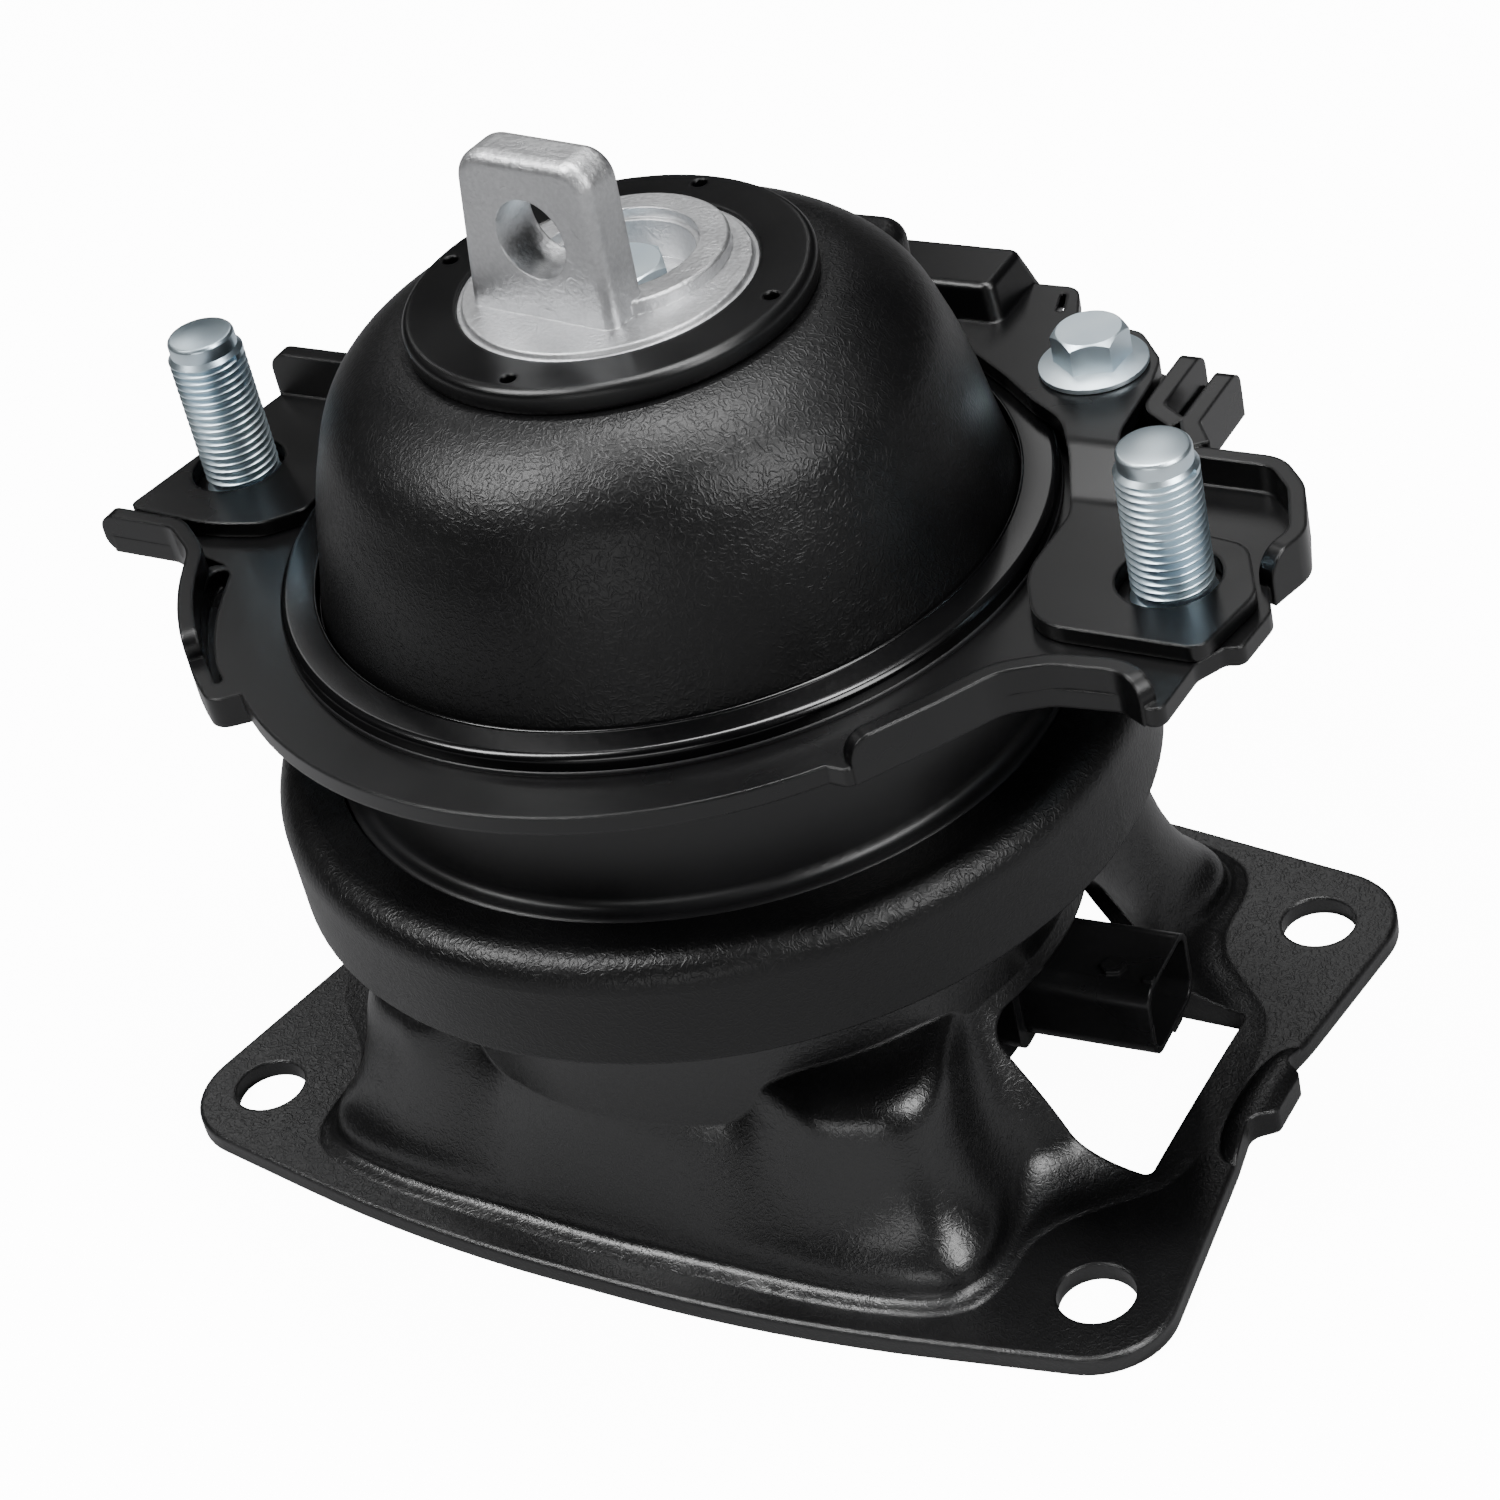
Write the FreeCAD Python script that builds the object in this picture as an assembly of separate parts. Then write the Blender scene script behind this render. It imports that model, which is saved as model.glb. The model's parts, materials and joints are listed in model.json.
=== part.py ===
import FreeCAD, Part
import math
import os

# Hydraulic engine mount with an electrically driven actuator in its foot.
# Millimetres, +Z up along the mount axis, origin on the axis at the underside of the base plate.
# +X points to the connector, -Y to the front of the mount.

# Fits: FIT between pieces that slip together, BOND between rubber and the metal it is bonded to.
FIT = 0.1
BOND = 0.1

# Base stamping.
BASE_T = 3.2
BASE_HOLE_X = 76.4
BASE_HOLE_Y = 43.6
BASE_HOLE_R = 6.0
COLLAR_R = 52.5
COLLAR_TOP = 51.1
COLLAR_T = 3.0
PEDESTAL_TOP = 35.0
SKIN = 2.4
FOOT_FLARE = 4.0
WINDOW_HALF = 19.0
WINDOW_END = 74.3
WINDOW_TOP = 28.5

# Actuator can under the fluid chambers.
CAN_R = 44.5
CAN_WALL = 1.5
CAN_FOOT = 4.5
CAN_FLANGE_R = 51.0
CAN_FLANGE_T = 1.6
CAN_FLANGE_TOP = COLLAR_TOP + CAN_FLANGE_T
PLUG_TURN = 3.54
PLUG_Z = 19.5
PLUG_MOUTH = 69.7
PLUG_WIDE = 17.0
PLUG_HIGH = 13.5

# Outer rubber sleeve, and the lower housing inside it.
SLEEVE_R = 68.6
SLEEVE_WALL = 6.5
SLEEVE_SHOULDER = 9.0
HOUSING_R = SLEEVE_R - SLEEVE_WALL - BOND
HOUSING_WALL = 2.5

# Stack in the lower housing, from its floor up: clamp ring, diaphragm rim, orifice plates.
STACK_FIT = 0.2
STACK_R = HOUSING_R - HOUSING_WALL - STACK_FIT
CLAMP_RING_H = 3.0
DIAPHRAGM_RIM = 1.8
LOWER_PLATE_T = 3.0
UPPER_PLATE_T = 5.0
RIM_Z = CAN_FLANGE_TOP + HOUSING_WALL + CLAMP_RING_H
LOWER_PLATE_Z = RIM_Z + DIAPHRAGM_RIM
UPPER_PLATE_Z = LOWER_PLATE_Z + LOWER_PLATE_T
HOUSING_TOP = UPPER_PLATE_Z + UPPER_PLATE_T
SLEEVE_TOP = HOUSING_TOP + 3.0
MEMBRANE_R = 26.0
MEMBRANE_T = 2.0
SEAL_IN = STACK_R - 1.6

# Neck tube that stands on the stack and carries the bracket ring.
NECK_STEP = 3.4
NECK_WALL = 2.5
NECK_LIP = 4.5
ROLL_R = HOUSING_R - HOUSING_WALL - 1.1
NECK_R = ROLL_R - NECK_STEP
NECK_LIP_R = NECK_R + NECK_LIP
NECK_LIP_T = 0.8
NECK_FOOT_Z = HOUSING_TOP

# Outer ring of the main rubber, pressed into the neck.
OUTER_RING_R = NECK_R - NECK_WALL - STACK_FIT
OUTER_RING_WALL = 2.3
OUTER_RING_IN = OUTER_RING_R - OUTER_RING_WALL
OUTER_RING_Z = HOUSING_TOP + 3.2

# Bracket ring, a stamped plate.
RING_LOW = 95.2
RING_T = 3.0
RING_TOP = RING_LOW + RING_T
RING_R = 68.4
FLANGE_TOP = 102.3
FLANGE_T = 2.5
FLANGE_BEND = (83.6, -19.4, 7)
FLANGE_END = (88.4, -21.9, 0)
FIN_TOP = 103.4
FIN_T = 3.0
GUTTER_DROP = 2.2
GUTTER_SKIN = 2.0

# Crimp ring and rubber dome.
CRIMP_IN = NECK_R - 1.5
CRIMP_OUT = NECK_LIP_R - STACK_FIT
CRIMP_TOP = 101.6
DOME_TOP = 138.3
DOME_WALL = 5.0

# Top washer, core and lug.
WASHER_R = 30.4
WASHER_HOLE = 22.2
WASHER_T = 3.8
CORE_R = 26.0
CORE_TOP = 142.6
HUB_R = 21.2
BOSS_R = 16.4
BOSS_TOP = 144.7
BORE_X = 0.3
BORE_Y = 3.5
BORE_R = 11.15
LEDGE_Z = 137.0
LUG_TOP = 167.6
LUG_TURN = -6.3
LUG_HOLE_X = -0.6
LUG_HOLE_Z = 155.2
LUG_HOLE_R = 6.15

# Stud yoke.
YOKE_T = 2.6
PAD_TOP = 101.0
ARCH_TOP = 104.3
LIP_TOP = 108.7
STUD_R = 6.0
STUD_LEFT = (-78.1, -2.7, 125.3)
STUD_RIGHT = (81.2, 3.2, 122.6)
PAD_HOLE_R = 7.6
PAD_HOLE_SHIFT = (-0.4, -0.3)
KNURL_R = 6.3
STUD_FOOT = 100.0
BOLT_X = 49.7
BOLT_Y = 46.9
BOLT_R = 3.0
BOLT_HOLE_R = 3.4


def V(x, y, z):
    return FreeCAD.Vector(x, y, z)


def outline(points, place):
    # closed wire through (u, v) or (u, v, corner radius)
    n = len(points)
    corners = []
    for i in range(n):
        x, y = points[i][0], points[i][1]
        r = points[i][2] if len(points[i]) > 2 else 0.0
        if r <= 0.0:
            corners.append(((x, y), None, (x, y)))
            continue
        ux, uy = points[i - 1][0] - x, points[i - 1][1] - y
        wx, wy = points[(i + 1) % n][0] - x, points[(i + 1) % n][1] - y
        lu, lw = math.hypot(ux, uy), math.hypot(wx, wy)
        ux, uy, wx, wy = ux / lu, uy / lu, wx / lw, wy / lw
        half = math.acos(max(-1.0, min(1.0, ux * wx + uy * wy))) / 2.0
        d = min(r / math.tan(half), 0.499 * lu, 0.499 * lw)
        r = d * math.tan(half)
        bx, by = ux + wx, uy + wy
        lb = math.hypot(bx, by)
        bx, by = bx / lb, by / lb
        reach = r / math.sin(half) - r
        corners.append(
            ((x + ux * d, y + uy * d), (x + bx * reach, y + by * reach), (x + wx * d, y + wy * d))
        )
    edges = []
    for i in range(n):
        start, middle, end = corners[i]
        if middle:
            edges.append(Part.Arc(place(*start), place(*middle), place(*end)).toShape())
        follow = corners[(i + 1) % n][0]
        if math.hypot(follow[0] - end[0], follow[1] - end[1]) > 1e-5:
            edges.append(Part.makeLine(place(*end), place(*follow)))
    return Part.Wire(edges)


def prism(points, low, high):
    face = Part.Face(outline(points, lambda x, y: V(x, y, low)))
    return face.extrude(V(0, 0, high - low))


def spun(points):
    face = Part.Face(outline(points, lambda r, z: V(r, 0, z)))
    return face.revolve(V(0, 0, 0), V(0, 0, 1), 360)


def tube(outer, inner, low, high, x=0.0, y=0.0):
    body = Part.makeCylinder(outer, high - low, V(x, y, low))
    if inner > 0:
        body = body.cut(Part.makeCylinder(inner, high - low + 2, V(x, y, low - 1)))
    return body


def hexagon(across, low, high, x, y, turn=0.0):
    reach = across / math.sqrt(3.0)
    points = []
    for i in range(6):
        a = math.radians(turn + 60 * i)
        points.append((x + reach * math.cos(a), y + reach * math.sin(a)))
    return prism(points, low, high)


def wall(path, thick, low, high):
    # upright wall of even thickness along an open path of (x, y, corner radius)
    n = len(path)
    left, right = [], []
    for i in range(n):
        x, y, r = path[i]
        if i > 0:
            ax, ay = x - path[i - 1][0], y - path[i - 1][1]
            la = math.hypot(ax, ay)
            ax, ay = ax / la, ay / la
        if i < n - 1:
            bx, by = path[i + 1][0] - x, path[i + 1][1] - y
            lb = math.hypot(bx, by)
            bx, by = bx / lb, by / lb
        if i == 0:
            ax, ay = bx, by
        if i == n - 1:
            bx, by = ax, ay
        mx, my = -(ay + by), ax + bx
        lm = math.hypot(mx, my)
        mx, my = mx / lm, my / lm
        stretch = thick / 2.0 / (mx * -ay + my * ax)
        cross = ax * by - ay * bx
        grow = thick / 2.0 if cross < 0 else -thick / 2.0
        left.append((x + mx * stretch, y + my * stretch, max(r + grow, 0.0) if r else 0.0))
        right.append((x - mx * stretch, y - my * stretch, max(r - grow, 0.0) if r else 0.0))
    return prism(left + right[::-1], low, high)


def near(edge, x, y, z, slack):
    middle = edge.valueAt((edge.FirstParameter + edge.LastParameter) / 2.0)
    return (
        abs(middle.x - x) < slack and abs(middle.y - y) < slack and abs(middle.z - z) < slack
    )


def level_edges(shape, z, slack=0.01):
    found = []
    for edge in shape.Edges:
        box = edge.BoundBox
        if abs(box.ZMin - z) < slack and abs(box.ZMax - z) < slack:
            found.append(edge)
    return found


def smoothstep(t):
    t = max(0.0, min(1.0, t))
    return t * t * (3.0 - 2.0 * t)


def blend(table, x):
    if x <= table[0][0]:
        return table[0][1]
    for (x0, y0), (x1, y1) in zip(table, table[1:]):
        if x <= x1:
            return y0 + (y1 - y0) * (x - x0) / (x1 - x0)
    return table[-1][1]


# Foot line of the pedestal: radius over the angle from the X axis, one quarter, mirrored round.
FOOT_LINE = (
    (0, 80.0),
    (14, 80.6),
    (17, 78.4),
    (20, 75.6),
    (25, 72.6),
    (30, 72.2),
    (34.5, 75.8),
    (38, 79.2),
    (42, 80.4),
    (46.5, 77.4),
    (52, 73.3),
    (58, 69.2),
    (65, 65.2),
    (72, 62.6),
    (80, 60.8),
    (90, 60.2),
)
# How far the wall still stands out from the collar towards the foot line, over the height.
# Below zero it has passed inside the collar.
LOBE_RISE = (
    (7.2, 1.0),
    (9.5, 0.9),
    (12.5, 0.79),
    (16, 0.71),
    (20, 0.64),
    (25, 0.58),
    (28.5, 0.53),
    (31, 0.44),
    (33, 0.24),
    (34.4, 0.0),
    (35, -0.08),
)
SIDE_RISE = (
    (3.2, 1.0),
    (3.7, 0.9),
    (4.9, 0.75),
    (7.2, 0.62),
    (11, 0.52),
    (15, 0.43),
    (21, 0.27),
    (26, 0.12),
    (30.5, 0.0),
    (35, -0.08),
)
FRONT_RISE = (
    (7.2, 1.0),
    (10, 0.84),
    (14, 0.63),
    (19, 0.38),
    (23, 0.18),
    (26, 0.0),
    (29, -0.24),
    (32, -0.4),
    (35, -0.5),
)


def quarter_angle(angle):
    a = abs(math.degrees(math.atan2(math.sin(angle), math.cos(angle))))
    return a if a <= 90 else 180 - a


def smooth_foot(a):
    total, weight = 0.0, 0.0
    for k in range(-3, 4):
        b = abs(a + 1.6 * k)
        b = b if b <= 90 else 180 - b
        w = math.exp(-0.22 * k * k)
        total += w * blend(FOOT_LINE, b)
        weight += w
    return total / weight


def pedestal_radius(angle, z):
    a = quarter_angle(angle)
    foot = smooth_foot(a) - FOOT_FLARE
    lobe = smoothstep((a - 22.0) / 14.0) * (1.0 - smoothstep((a - 52.0) / 16.0))
    side = 1.0 - smoothstep((a - 22.0) / 14.0)
    front = smoothstep((a - 52.0) / 16.0)
    rise = (
        lobe * blend(LOBE_RISE, z) + side * blend(SIDE_RISE, z) + front * blend(FRONT_RISE, z)
    )
    r = COLLAR_R + (foot - COLLAR_R) * rise
    under = (z - BASE_T) / FOOT_FLARE
    if under < 1.0:
        k = 1.0 - max(under, 0.0)
        r += FOOT_FLARE * (1.0 - math.sqrt(max(0.0, 1.0 - k * k)))
    return r


def pedestal_section(z, level, inset):
    points = []
    for i in range(96):
        a = 2 * math.pi * i / 96
        r = pedestal_radius(a, level) - inset
        points.append(V(r * math.cos(a), r * math.sin(a), z))
    curve = Part.BSplineCurve()
    curve.interpolate(points, True)
    return Part.Wire([curve.toShape()])


def pedestal_body(levels, drop, inset):
    wires = [pedestal_section(z - drop, z, inset) for z in levels]
    return Part.makeLoft(wires, True, False)


def base_plate():
    hx, hy = BASE_HOLE_X, BASE_HOLE_Y
    ex, ey = hx + 14.0, hy + 11.1
    right = [(ex, -ey, 13), (85.4, -12, 60), (84.0, -3.7, 3), (87.6, -0.8, 1.5)]
    right += [(87.6, 8.4, 1.5), (84.2, 10.2, 3), (85.6, 16, 60), (ex, ey + 0.6, 13)]
    rear = [(32, 62.6, 300), (-32, 62.6, 300)]
    left = [(-ex, ey + 0.6, 13), (-80.6, 4, 90), (-80.6, -4, 90), (-ex, -ey, 13)]
    front = [(-32, -64.9, 300), (32, -64.9, 300)]
    plate = prism(right + rear + left + front, 0, BASE_T)
    plate = plate.makeFillet(0.7, level_edges(plate, BASE_T))
    # drawn pedestal: outer skin, then the hollow under it
    levels = (BASE_T, 3.7, 4.9, 7.2, 11, 15, 19.5, 24, 28, 31, 33, PEDESTAL_TOP)
    wires = [pedestal_section(z, z, 0.0) for z in levels]
    outer = Part.makeLoft(wires, True, False)
    inner = pedestal_body((6.0, 8.2, 12, 16, 20, 24, 28, 31, 33), SKIN, SKIN)
    pit = Part.Face(pedestal_section(-1.0, 6.0, SKIN)).extrude(V(0, 0, 6.0 - SKIN + 1.0))
    collar = spun([(0, 22), (COLLAR_R, 22), (COLLAR_R, COLLAR_TOP, 3.0), (0, COLLAR_TOP)])
    bore = spun(
        [
            (0, 24),
            (COLLAR_R - COLLAR_T, 24),
            (COLLAR_R - COLLAR_T, COLLAR_TOP - COLLAR_T),
            (CAN_R + 0.6, COLLAR_TOP - COLLAR_T),
            (CAN_R + 0.6, COLLAR_TOP + 1),
            (0, COLLAR_TOP + 1),
        ]
    )
    body = outer.fuse(collar).fuse(plate)
    body = body.cut(inner).cut(pit).cut(bore)
    half = WINDOW_HALF
    middle = (WINDOW_END + 40) / 2
    window = Part.makeBox(WINDOW_END - 40, 2 * half, WINDOW_TOP + 1, V(40, -half, -1))
    crown = [e for e in window.Edges if near(e, middle, e.BoundBox.YMin, WINDOW_TOP, 0.1)]
    corners = [e for e in window.Edges if near(e, WINDOW_END, e.BoundBox.YMin, (WINDOW_TOP - 1) / 2, 0.1)]
    body = body.cut(window.makeFillet(1.4, corners).common(window.makeFillet(5.0, crown)))
    # soft bead on the rail beside the window
    stretch = FreeCAD.Matrix()
    stretch.A11 = 4.4
    stretch.A22 = 13.5
    stretch.A33 = 1.8
    bead = Part.makeSphere(1.0).transformGeometry(stretch)
    bead.translate(V(84.4, 1.0, BASE_T - 0.2))
    body = body.fuse(bead.common(prism(right + rear + left + front, 1.0, 8.0)))
    for sx in (-1, 1):
        for sy in (-1, 1):
            body = body.cut(Part.makeCylinder(BASE_HOLE_R, 10, V(sx * hx, sy * hy, -2)))
    return body.removeSplitter()


def plug_frame(shape):
    # from the plug's own frame (X outwards) to its place on the can
    shape.rotate(V(0, 0, 0), V(0, 0, 1), PLUG_TURN)
    shape.translate(V(0, 0, PLUG_Z))
    return shape


def plug_block(x0, x1, wide, high, r):
    block = Part.makeBox(x1 - x0, wide, high, V(x0, -wide / 2, -high / 2))
    edges = [e for e in block.Edges if e.BoundBox.XLength > (x1 - x0) * 0.9]
    return block.makeFillet(r, edges)


def actuator_can():
    inner = CAN_R - CAN_WALL
    can = spun(
        [
            (0, CAN_FOOT),
            (CAN_R, CAN_FOOT, 4.0),
            (CAN_R, COLLAR_TOP),
            (CAN_FLANGE_R, COLLAR_TOP, 0.5),
            (CAN_FLANGE_R, CAN_FLANGE_TOP, 0.5),
            (inner, CAN_FLANGE_TOP),
            (inner, CAN_FOOT + CAN_WALL, 2.5),
            (0, CAN_FOOT + CAN_WALL),
        ]
    )
    port = plug_frame(plug_block(38, 50, 13.0 + 2 * FIT, 9.5 + 2 * FIT, 2.0))
    return can.cut(port)


def connector_housing():
    body = plug_block(40, PLUG_MOUTH, PLUG_WIDE, PLUG_HIGH, 3.2)
    root = plug_block(40, 48.0, 21.0, 16.5, 3.0)
    body = body.fuse(root)
    nub = hexagon(3.6, 0, 0.9, 62.6, -3.4, 15)
    nub.translate(V(0, 0, PLUG_HIGH / 2 - 0.1))
    key = Part.makeBox(1.6, 1.2, 0.8, V(PLUG_MOUTH - 1.6, -5.6, PLUG_HIGH / 2 - 0.2))
    catch = plug_block(PLUG_MOUTH - 4.5, PLUG_MOUTH - 0.2, 4.0, 2.4, 0.8)
    catch.translate(V(0, 1.5, -PLUG_HIGH / 2 - 0.2))
    body = body.fuse(nub).fuse(key).fuse(catch)
    body = plug_frame(body)
    body = body.cut(Part.makeCylinder(CAN_R + 0.05, 80, V(0, 0, -10)))
    neck = plug_frame(plug_block(41.8, 48, 13.0, 9.5, 2.0))
    body = body.fuse(neck)
    socket = plug_block(50.5, PLUG_MOUTH + 5, PLUG_WIDE - 2.0, PLUG_HIGH - 2.0, 2.4)
    body = body.cut(plug_frame(socket))
    for side in (-3.2, 3.2):
        slot = Part.makeBox(20, 0.9, 2.9, V(38, side - 0.45, -1.45))
        body = body.cut(plug_frame(slot))
        seat = Part.makeBox(3.0, 0.9, 4.5, V(40.0, side - 0.45, -2.25))
        body = body.cut(plug_frame(seat))
    return body.removeSplitter()


def connector_terminals():
    blades = []
    for side in (-3.2, 3.2):
        blade = Part.makeBox(23.5, 0.8, 2.8, V(38.6, side - 0.4, -1.4))
        tip = [e for e in blade.Edges if abs(e.BoundBox.XMin - 62.1) < 0.01]
        tip = [e for e in tip if e.BoundBox.ZLength > 2]
        blade = blade.makeChamfer(0.25, tip)
        shoulder = Part.makeBox(2.4, 0.8, 4.3, V(40.6, side - 0.4, -2.15))
        blades.append(plug_frame(blade.fuse(shoulder)))
    return Part.makeCompound(blades)


def lower_housing():
    inner = HOUSING_R - HOUSING_WALL
    low = CAN_FLANGE_TOP
    return spun(
        [
            (30, low),
            (HOUSING_R, low, 2.5),
            (HOUSING_R, HOUSING_TOP),
            (inner, HOUSING_TOP),
            (inner, low + HOUSING_WALL),
            (30, low + HOUSING_WALL),
        ]
    )


def rubber_sleeve():
    inner = HOUSING_R + BOND
    return spun(
        [
            (inner, CAN_FLANGE_TOP),
            (SLEEVE_R, CAN_FLANGE_TOP, 0.8),
            (SLEEVE_R, SLEEVE_TOP, SLEEVE_SHOULDER),
            (ROLL_R + FIT, SLEEVE_TOP),
            (ROLL_R + FIT, HOUSING_TOP),
            (inner, HOUSING_TOP),
        ]
    )


def neck_housing():
    inner = NECK_R - NECK_WALL
    foot = NECK_FOOT_Z
    return spun(
        [
            (inner, foot),
            (ROLL_R, foot, 1.2),
            (ROLL_R, foot + 2.9, 1.4),
            (NECK_R, foot + 2.9, 2.0),
            (NECK_R, RING_TOP),
            (NECK_LIP_R, RING_TOP),
            (NECK_LIP_R, RING_TOP + NECK_LIP_T, 0.3),
            (inner, RING_TOP + NECK_LIP_T, 0.0),
        ]
    )


def ring_blank():
    # plan outline of the bracket ring before its flanges are raised
    disc = Part.Face(Part.Wire([Part.makeCircle(RING_R, V(0, 0, 0))]))
    right = [
        (40, -45),
        (54.2, -45.6, 1.0),
        (62.3, -33.5, 20),
        (67.6, -25.4, 8),
        (73.6, -21.9, 8),
        (84.0, -20.8, 6),
        (90.4, -23.8, 1.8),
        (90.8, -11.9, 3.0),
        (93.2, -7.6, 1.5),
        (95.6, -7.0, 3.0),
        (96.3, 2.0, 4.0),
        (93.4, 7.6, 1.0),
        (95.4, 15.0, 5.0),
        (91.2, 24.8, 4.0),
        (85.6, 30.2, 3.0),
        (71.0, 30.8, 1.0),
        (70.6, 51.2, 1.0),
        (61.4, 54.8, 1.0),
        (58.0, 55.0, 4.0),
        (44.0, 60.0, 8.0),
        (20, 55),
    ]
    left = [
        (-52, -38),
        (-66.0, -24.8, 2.0),
        (-76.0, -22.3, 4.0),
        (-92.4, -22.1, 1.5),
        (-91.0, -12.0, 4.0),
        (-89.0, 10.0, 8.0),
        (-83.0, 22.0, 8.0),
        (-64.0, 34.0, 12.0),
        (-50, 38),
    ]
    flat = lambda x, y: V(x, y, 0)
    return disc, Part.Face(outline(right, flat)), Part.Face(outline(left, flat))


def sector(r0, r1, a0, a1, low, high):
    a0, a1 = math.radians(a0), math.radians(a1)
    am = (a0 + a1) / 2

    def at(r, a):
        return V(r * math.cos(a), r * math.sin(a), low)

    edges = [
        Part.Arc(at(r0, a0), at(r0, am), at(r0, a1)).toShape(),
        Part.makeLine(at(r0, a1), at(r1, a1)),
        Part.Arc(at(r1, a1), at(r1, am), at(r1, a0)).toShape(),
        Part.makeLine(at(r1, a0), at(r0, a0)),
    ]
    return Part.Face(Part.Wire(edges)).extrude(V(0, 0, high - low))


def bracket_ring():
    disc, right, left = ring_blank()
    plate = None
    for face in (disc, right, left):
        slab = face.extrude(V(0, 0, RING_T))
        slab.translate(V(0, 0, RING_LOW))
        plate = slab if plate is None else plate.fuse(slab)
    plate = plate.removeSplitter()
    # left front: tab and fin are one folded wall, and a pressed gutter lies inside the fin
    t = FLANGE_T
    low = RING_LOW - GUTTER_DROP
    tab_line = [(-92.6, -20.8, 0), (-77.4, -21.0, 7), (-69.6, -26.6, 9), (-65.5, -34.8, 60)]
    fin_line = tab_line + [(-61.0, -41.2, 60), (-56.0, -47.0, 0)]
    tab = wall(fin_line, t, RING_LOW, FLANGE_TOP - 0.2)
    ends = [e for e in tab.Edges if near(e, -92.6, -20.8, FLANGE_TOP - 0.2, 0.3)]
    ends += [e for e in tab.Edges if near(e, -92.6, -20.8, RING_LOW, 0.3)]
    ends += [e for e in tab.Edges if near(e, -56.0, -47.0, FLANGE_TOP - 0.2, 0.3)]
    tab = tab.makeFillet(2.9, ends)
    rim = [(-71.4, -25.4, 3), (-66.6, -35.4, 60), (-62.1, -41.9, 60), (-56.1, -48.8, 60)]
    rim += [(-51.6, -52.6, 20), (-47.4, -55.8, 3.2), (-42.0, -51.6, 0), (-41, -41, 0), (-62, -24, 0)]
    band = prism(rim, low, RING_TOP)
    groove = [(-67.3, -27.8, 1.2), (-64.4, -34.1, 40), (-59.9, -40.3, 40), (-55.1, -46.1, 20)]
    groove += [(-49.0, -51.7, 0.8), (-48.2, -50.6, 0.8), (-51.7, -47.7, 20), (-55.8, -42.8, 40)]
    groove += [(-59.6, -36.8, 40), (-62.2, -31.3, 20), (-64.6, -25.9, 1.8), (-67.2, -25.8, 1.0)]
    slot = prism(groove, low + GUTTER_SKIN, RING_TOP + 10)
    # upright flanges
    front = wall(
        [(54.0, -44.2, 0), (61.6, -32.9, 24), (66.9, -24.2, 10), (73.8, -20.4, 10), FLANGE_BEND, FLANGE_END],
        t,
        RING_LOW,
        FLANGE_TOP,
    )
    corner = [e for e in front.Edges if near(e, 54.0, -44.2, FLANGE_TOP, 0.3)]
    corner += [e for e in front.Edges if near(e, FLANGE_END[0], FLANGE_END[1], FLANGE_TOP, 0.3)]
    front = front.makeFillet(3.4, corner)
    pocket = wall(
        [(71.0, 30.2, 0), (86.0, 30.2, 5.5), (91.2, 24.8, 8.0), (95.4, 15.0, 5.0), (93.3, 7.4, 0)],
        t,
        RING_LOW,
        FLANGE_TOP + 0.7,
    )
    corner = [e for e in pocket.Edges if near(e, 93.3, 7.4, FLANGE_TOP + 0.7, 0.3)]
    pocket = pocket.makeFillet(4.0, corner)
    inner_fin = wall([(62.4, 55.3, 0), (62.4, 39.6, 3.0), (67.8, 36.2, 0)], FIN_T, RING_LOW, FIN_TOP)
    corner = [e for e in inner_fin.Edges if near(e, 62.4, 55.3, FIN_TOP, 0.3)]
    inner_fin = inner_fin.makeFillet(2.6, corner)
    outer_fin = wall([(69.6, 51.8, 0), (69.6, 36.6, 3.0), (73.4, 31.6, 0)], FIN_T, RING_LOW, FIN_TOP)
    corner = [e for e in outer_fin.Edges if near(e, 69.6, 51.8, FIN_TOP, 0.3)]
    outer_fin = outer_fin.makeFillet(2.6, corner)
    body = plate.fuse([band, tab, front, pocket, inner_fin, outer_fin])
    body = body.cut(slot)
    body = body.cut(Part.makeCylinder(NECK_R + FIT, 20, V(0, 0, 90)))
    for x, y, top in (STUD_LEFT, STUD_RIGHT):
        body = body.cut(Part.makeCylinder(KNURL_R + 0.02, 20, V(x, y, 90)))
    body = body.cut(Part.makeCylinder(BOLT_HOLE_R, 20, V(BOLT_X, BOLT_Y, 90)))
    gap = Part.makeBox(2.6, 20, 20, V(64.6, 40.5, 90))
    body = body.cut(gap)
    return body.removeSplitter()


def yoke_plan():
    right = [
        (60.4, 14.0, 30),
        (60.4, -1.0, 14),
        (66.6, -11.9, 8),
        (91.8, -11.9, 2.6),
        (94.4, 2.0, 6),
        (88.8, 12.4, 5),
        (77.0, 14.0, 10),
        (61.4, 28.0, 12),
        (60.3, 44.6, 2.5),
        (59.0, 50.6, 3.5),
        (53.0, 57.2, 4),
        (41.4, 59.0, 3),
        (37.8, 67.5, 3.4),
        (31.0, 67.4, 0.6),
        (0.0, 72.0, 40),
    ]
    left = [
        (-31.5, 69.2, 1.0),
        (-41.0, 59.4, 6),
        (-58.0, 46.0, 14),
        (-70.0, 20.0, 1),
        (-83.4, 20.0, 1),
        (-90.2, -17.7, 1.6),
        (-73.0, -18.7, 30),
        (-64.6, -16.6, 7),
        (-59.4, -11.6, 3),
        (-60.4, 12.0, 30),
    ]
    inner = []
    rim = [(59.0, 17.0, 20), (55.5, 25.0, 20), (51.0, 32.2, 12), (44.5, 36.0, 12)]
    rim += [(37.3, 41.5, 20), (28.0, 47.6, 25), (15.0, 53.2, 25)]
    for x, y, r in rim:
        inner.append((-x, y, r))
    inner.append((0.0, 55.2, 25))
    inner += rim[::-1]
    return right + left + inner


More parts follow.
